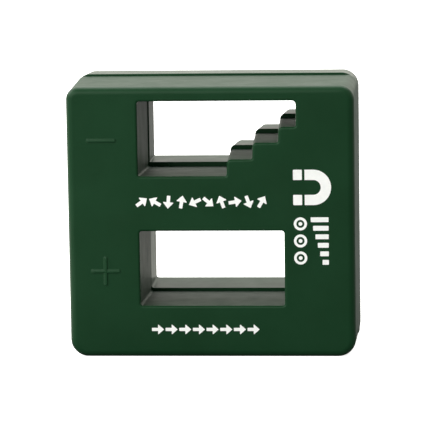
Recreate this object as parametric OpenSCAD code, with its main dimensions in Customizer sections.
// Demagnetizer block for small tools: two moulded shells screwed together from
// the back over two flat ferrite magnets. A tool tip is drawn through the lower
// window to magnetise it and through the stepped upper window to demagnetise it.
// Millimetres. +X right seen from the front, front face towards -Y, +Z up,
// origin at the centre of the footprint.

/* [Body] */
// Width of the front shell
body_w = 50; // [48:0.5:52]
// Height of the front shell
body_h = 47.6; // [47:0.1:50]
// Overall depth, front to back
body_d = 28; // [27:0.5:30]
// Depth of the front shell
front_d = 19; // [18.5:0.05:20]
// How far the rear shell stands proud of the front one, at the sides and top
proud = 0.35; // [0:0.05:0.4]
// Radius of the four corners seen from the front
corner_r = 2.8; // [2:0.1:4]
// Rounding around the rims of the front and rear faces
edge_r = 1.2; // [0.6:0.1:1.6]
// Thickness of the side walls
wall = 1.8; // [1.4:0.1:2.4]
// Thickness of the front and rear faces
plate = 2; // [1.5:0.1:3]
// Gap left showing at the joint between the shells
seam_gap = 0.25; // [0.1:0.05:0.5]

/* [Windows] */
// Wall thickness of the window tunnels
sleeve = 1.5; // [1:0.1:2]
// Height of both windows
window_h = 13.3; // [12.5:0.1:13.5]
// Left edge of both windows, left of the centre
window_left = 12.6; // [12:0.1:13]
// Right edge of the lower window
low_right = 12.85; // [12:0.05:13.5]
// Height of the bar under the lower window
low_floor = 9.1; // [9:0.1:9.5]
// Height of the bridge between the windows
bridge_h = 9.5; // [9.3:0.1:10]
// Right edges of the treads in the upper window
tread_x = [3.05, 7.45, 11.95, 15];
// Heights of the treads over the upper window's floor
tread_z = [0, 2.95, 5.85, 8.6];
// Corner radius in the windows
window_r = 0.45; // [0.3:0.05:0.6]
// How much wider the front tunnels are at the joint than at the face, per side
flare = 0.4; // [0:0.05:0.5]
// How far the risers lean into the upper window on their way to the joint
lean = 0.62; // [0:0.02:0.7]
// Rounding of the tread noses in the rear tunnel
nose_r = 0.9; // [0.5:0.1:1.2]

/* [Raised marks] */
// Width of the strokes
mark_w = 0.56; // [0.4:0.02:0.8]
// Length of the strokes
mark_l = 4.8; // [4:0.1:6]
// Height of the strokes above the face
mark_rise = 0.18; // [0.1:0.02:0.3]
// Centre of the minus, across and up
minus_at = [-19, 38.35];
// Centre of the plus, across and up
plus_at = [-18.6, 15.3];

/* [Magnets] */
// Width of both ferrite blocks
magnet_w = 30; // [24:0.5:32]
// Depth of both ferrite blocks, front to back
magnet_d = 20; // [16:0.5:21]
// Thickness of both ferrite blocks, along the field
magnet_t = 5; // [4:0.1:5.1]
// Stand-off of the magnets from the front face's inside
stop_h = 1; // [0.6:0.1:1.6]
// Foam pad thickness as squeezed behind each magnet
pad_t = 1.5; // [1:0.1:2]

/* [Screws] */
// Screw distance left and right of the centre
screw_x = 19.6; // [18:0.1:20.5]
// Screw height above the base, and the same below the top
screw_z = 5.5; // [5:0.1:7]
// Outer radius of the front screw bosses
boss_r = 2.6; // [2.2:0.1:3]
// Outer radius of the rear screw wells
well_r = 3.3; // [3:0.1:3.5]
// Depth of the screw wells from the rear face
well_d = 4; // [3:0.1:5]
// Radius of the screw wells
well_in_r = 2.3; // [2.1:0.05:2.5]
// Thread radius of the screws
thread_r = 1.1; // [1:0.05:1.25]
// Core radius of the screws
core_r = 0.83; // [0.75:0.01:0.95]
// Thread pitch
pitch = 0.8; // [0.7:0.05:1]
// Length of the screws under the head
screw_l = 9.5; // [8:0.5:13]
// Head radius
head_r = 1.9; // [1.7:0.05:2.1]
// Head height
head_h = 1.35; // [1.1:0.05:1.7]

/* [Hidden] */
$fn = 48;
eps = 0.01;
y_front = -body_d / 2;
y_rear = body_d / 2;
y_seam = y_front + front_d;
y_front_in = y_front + plate;
y_rear_in = y_rear - plate;
lip_t = 0.75;
lip_h = 1.2;
lip_play = 0.1;
low_top = low_floor + window_h;
up_floor = low_top + bridge_h;
up_top = up_floor + window_h;
magnet_y = y_front_in + stop_h;
pad_y = magnet_y + magnet_d;
bridge_z = (low_top + up_floor) / 2;
base_z = (wall + low_floor - sleeve) / 2;
last = len(tread_x) - 1;
pad_w = 24;
pad_h = 4;
stop_x = magnet_w / 2 + 0.05;
screw_seat = y_rear - well_d;
dome_r = 3.4;
screws = [[-screw_x, body_h - screw_z], [screw_x, body_h - screw_z],
          [-screw_x, screw_z], [screw_x, screw_z]];
abs_green = [0.06, 0.16, 0.09];
ferrite = [0.16, 0.16, 0.17];
foam = [0.1, 0.1, 0.1];
steel = [0.7, 0.7, 0.72];

// Runs a plan drawn in X and Z from y0 back to y1.
module run(y0, y1) {
  translate([0, y1, 0])
    rotate([90, 0, 0])
      linear_extrude(y1 - y0) children();
}

// Plan of the block, grown by g at the sides and top, drawn in by inset all round.
module outline(inset, g = 0) {
  r = corner_r - inset;
  w = body_w / 2 + g - inset;
  h = body_h + g;
  translate([-w + r, inset]) square([2 * (w - r), h - 2 * inset]);
  translate([-w, inset + r]) square([2 * w, h - 2 * (inset + r)]);
  for (x = [-w + r, w - r], z = [inset + r, h - inset - r])
    translate([x, z]) circle(r);
}

// Plan of one pane of a window between two corners.
module pane(x0, z0, x1, z1, r) {
  translate([x0 + r, z0]) square([x1 - x0 - 2 * r, z1 - z0]);
  translate([x0, z0 + r]) square([x1 - x0, z1 - z0 - 2 * r]);
  for (x = [x0 + r, x1 - r], z = [z0 + r, z1 - r])
    translate([x, z]) circle(r, $fn = 24);
}

// Both windows grown outward by g; the risers stand lean_in further left.
module windows(g, lean_in = 0) {
  pane(-window_left - g, low_floor - g, low_right + g, low_top + g, window_r + g);
  for (i = [0 : last])
    pane(-window_left - g, up_floor + tread_z[i] - g,
         tread_x[i] + g - (i < last ? lean_in : 0), up_top + g, window_r + g);
}

// One pane of a front tunnel, from its corners at the face to those at the joint.
module flared_pane(x0, z0, x1, z1, shift) {
  hull() {
    run(y_front - eps, y_front) pane(x0, z0, x1, z1, window_r);
    run(y_seam, y_seam + eps)
      pane(x0 - flare, z0 - flare, x1 + shift, z1 + flare, window_r);
  }
}

// Openings of both front tunnels.
module front_tunnels() {
  flared_pane(-window_left, low_floor, low_right, low_top, flare);
  for (i = [0 : last])
    flared_pane(-window_left, up_floor + tread_z[i], tread_x[i], up_top,
                i < last ? -lean : flare);
}

// Openings of both rear tunnels, with rounded tread noses.
module rear_tunnels() {
  run(y_seam - 3, y_rear + 1) windows(0, lean);
  for (i = [1 : last])
    run(y_seam - 3, y_rear + 1)
      translate([tread_x[i - 1] - lean, up_floor + tread_z[i]]) difference() {
        translate([-0.1, -nose_r]) square([nose_r + 0.1, nose_r + 0.1]);
        translate([nose_r, -nose_r]) circle(nose_r);
        translate([nose_r, -nose_r - 1]) square([1, nose_r + 1]);
      }
}

// Block from its outer face at y0 to the joint at y1; the rim at y0 is rounded.
module block(y0, y1, g = 0) {
  s = sign(y1 - y0);
  y_in = y0 + s * edge_r;
  w = body_w / 2 + g - edge_r;
  h = body_h + g;
  run(min(y_in, y1), max(y_in, y1)) outline(0, g);
  run(min(y0, y_in), max(y0, y_in)) outline(edge_r, g);
  c = corner_r - edge_r;
  for (z = [edge_r, h - edge_r])
    translate([-w + c, y_in, z]) rotate([0, 90, 0]) cylinder(r = edge_r, h = 2 * (w - c));
  for (x = [-w, w])
    translate([x, y_in, edge_r + c]) cylinder(r = edge_r, h = h - 2 * (edge_r + c));
  for (x = [-w + c, w - c], z = [edge_r + c, h - edge_r - c])
    translate([x, y_in, z]) rotate([90, 0, 0])
      rotate_extrude() translate([c, 0]) circle(edge_r);
}

// Raised stroke along X with a rounded crest.
module stroke() {
  r = (mark_rise * mark_rise + mark_w * mark_w / 4) / (2 * mark_rise);
  translate([-mark_l / 2, y_front - mark_rise + r, 0])
    rotate([0, 90, 0]) cylinder(r = r, h = mark_l);
}

// Webs that hold a magnet at height z between the tunnel walls.
module cradle(z, gap) {
  rib = (gap - magnet_t) / 2 - 0.05;
  for (x = [-10.5, 0, 10.5], s = [-1, 1])
    translate([x - 0.6, y_front_in - eps, z + s * (gap + 0.2) / 2 - (s > 0 ? rib + 0.1 : 0)])
      cube([1.2, magnet_d + stop_h - 4, rib + 0.1]);
  for (s = [-1, 1])
    translate([s > 0 ? stop_x : -stop_x - 1.2, y_front_in - eps, z - gap / 2 - 0.2])
      cube([1.2, magnet_d + stop_h - 5, gap + 0.4]);
  for (x = [-8, 8])
    translate([x - 0.6, y_front_in - eps, z - gap / 2 - 0.2])
      cube([1.2, stop_h - 0.02 + eps, gap + 0.4]);
}

module front_shell() {
  color(abs_green) difference() {
    union() {
      difference() {
        block(y_front, y_seam - seam_gap);
        run(y_front_in, y_seam + 1) outline(wall);
        run(y_seam - lip_h - 0.3, y_seam + 1) outline(wall - lip_t - lip_play);
      }
      run(y_front_in - eps, y_seam - seam_gap) windows(sleeve);
      cradle(bridge_z, bridge_h - 2 * sleeve);
      cradle(base_z, low_floor - sleeve - wall);
      for (p = screws) {
        translate([p[0], y_seam, p[1]]) rotate([90, 0, 0])
          cylinder(r = boss_r, h = front_d - plate + eps, $fn = 32);
        translate([p[0] - (p[0] < 0 ? 4.2 : -1.8), y_front_in - eps, p[1] - 0.5])
          cube([2.4, front_d - plate - 4, 1]);
      }
      translate([minus_at[0], 0, minus_at[1]]) mark_bar();
      translate([plus_at[0], 0, plus_at[1]]) mark_bar();
      translate([plus_at[0], 0, plus_at[1]]) rotate([0, 90, 0]) mark_bar();
    }
    front_tunnels();
    for (p = screws)
      translate([p[0], y_seam + 1, p[1]]) rotate([90, 0, 0])
        cylinder(r = thread_r + 0.02, h = 8, $fn = 24);
  }
}

module mark_bar() {
  intersection() {
    stroke();
    translate([-mark_l / 2 - 1, y_front - 1, -1]) cube([mark_l + 2, 1.5, 2]);
  }
}

module rear_shell() {
  color(abs_green) difference() {
    union() {
      difference() {
        block(y_rear, y_seam, proud);
        run(y_seam - 1, y_rear_in) outline(wall);
      }
      difference() {
        run(y_seam - lip_h, y_seam + 1) outline(wall - lip_t);
        run(y_seam - lip_h - 1, y_seam + 2) outline(wall);
        run(y_seam - lip_h - 1, y_seam) windows(sleeve + lip_play);
      }
      run(y_seam, y_rear_in + eps) windows(sleeve, lean);
      for (p = screws)
        translate([p[0], y_rear_in + eps, p[1]]) rotate([90, 0, 0])
          cylinder(r = well_r, h = y_rear_in - y_seam + eps, $fn = 32);
      for (z = [bridge_z, base_z], x = [-7, 7])
        translate([x - 0.75, pad_y + pad_t, z - 2.4])
          cube([1.5, y_rear_in - pad_y - pad_t + eps, 4.8]);
    }
    rear_tunnels();
    for (p = screws) {
      translate([p[0], y_rear + 1, p[1]]) rotate([90, 0, 0])
        cylinder(r = well_in_r, h = well_d + 1, $fn = 32);
      translate([p[0], y_rear, p[1]]) rotate([90, 0, 0])
        cylinder(r = thread_r + 0.15, h = body_d, $fn = 24);
    }
  }
}

// Ferrite block centred across the body at height z.
module magnet(z) {
  b = 0.4;
  color(ferrite) intersection() {
    translate([-magnet_w / 2, magnet_y, z - magnet_t / 2])
      cube([magnet_w, magnet_d, magnet_t]);
    translate([0, 0, z - magnet_t / 2]) linear_extrude(magnet_t)
      polygon([[-magnet_w / 2 + b, magnet_y], [magnet_w / 2 - b, magnet_y],
               [magnet_w / 2, magnet_y + b], [magnet_w / 2, pad_y - b],
               [magnet_w / 2 - b, pad_y], [-magnet_w / 2 + b, pad_y],
               [-magnet_w / 2, pad_y - b], [-magnet_w / 2, magnet_y + b]]);
  }
}

// Foam strip between a magnet and the rear shell's ribs.
module pad(z) {
  color(foam) translate([-pad_w / 2, pad_y, z - pad_h / 2]) cube([pad_w, pad_t, pad_h]);
}

// Cross-recess pan-head screw driven from the rear.
module screw(p) {
  tip = 1.2;
  rings = floor((screw_l - tip - 0.8) / pitch);
  color(steel) translate([p[0], screw_seat, p[1]]) rotate([90, 0, 0]) {
    difference() {
      translate([0, 0, -head_h]) rotate_extrude() intersection() {
        translate([0, dome_r]) circle(dome_r);
        square([head_r, head_h]);
      }
      for (a = [0, 90])
        rotate([0, 0, a]) translate([-1.05, -0.26, -head_h - 1]) cube([2.1, 0.52, 1.85]);
    }
    cylinder(r = core_r, h = screw_l - tip, $fn = 24);
    translate([0, 0, screw_l - tip]) cylinder(r1 = core_r, r2 = 0.1, h = tip, $fn = 24);
    for (i = [0 : rings - 1])
      translate([0, 0, 0.8 + i * pitch]) {
        cylinder(r1 = core_r, r2 = thread_r, h = pitch / 2, $fn = 24);
        translate([0, 0, pitch / 2]) cylinder(r1 = thread_r, r2 = core_r, h = pitch / 2, $fn = 24);
      }
  }
}

module bridge_magnet() { magnet(bridge_z); }
module base_magnet() { magnet(base_z); }
module bridge_magnet_pad() { pad(bridge_z); }
module base_magnet_pad() { pad(base_z); }
module screw_top_left() { screw(screws[0]); }
module screw_top_right() { screw(screws[1]); }
module screw_bottom_left() { screw(screws[2]); }
module screw_bottom_right() { screw(screws[3]); }

front_shell();
rear_shell();
bridge_magnet();
base_magnet();
bridge_magnet_pad();
base_magnet_pad();
screw_top_left();
screw_top_right();
screw_bottom_left();
screw_bottom_right();
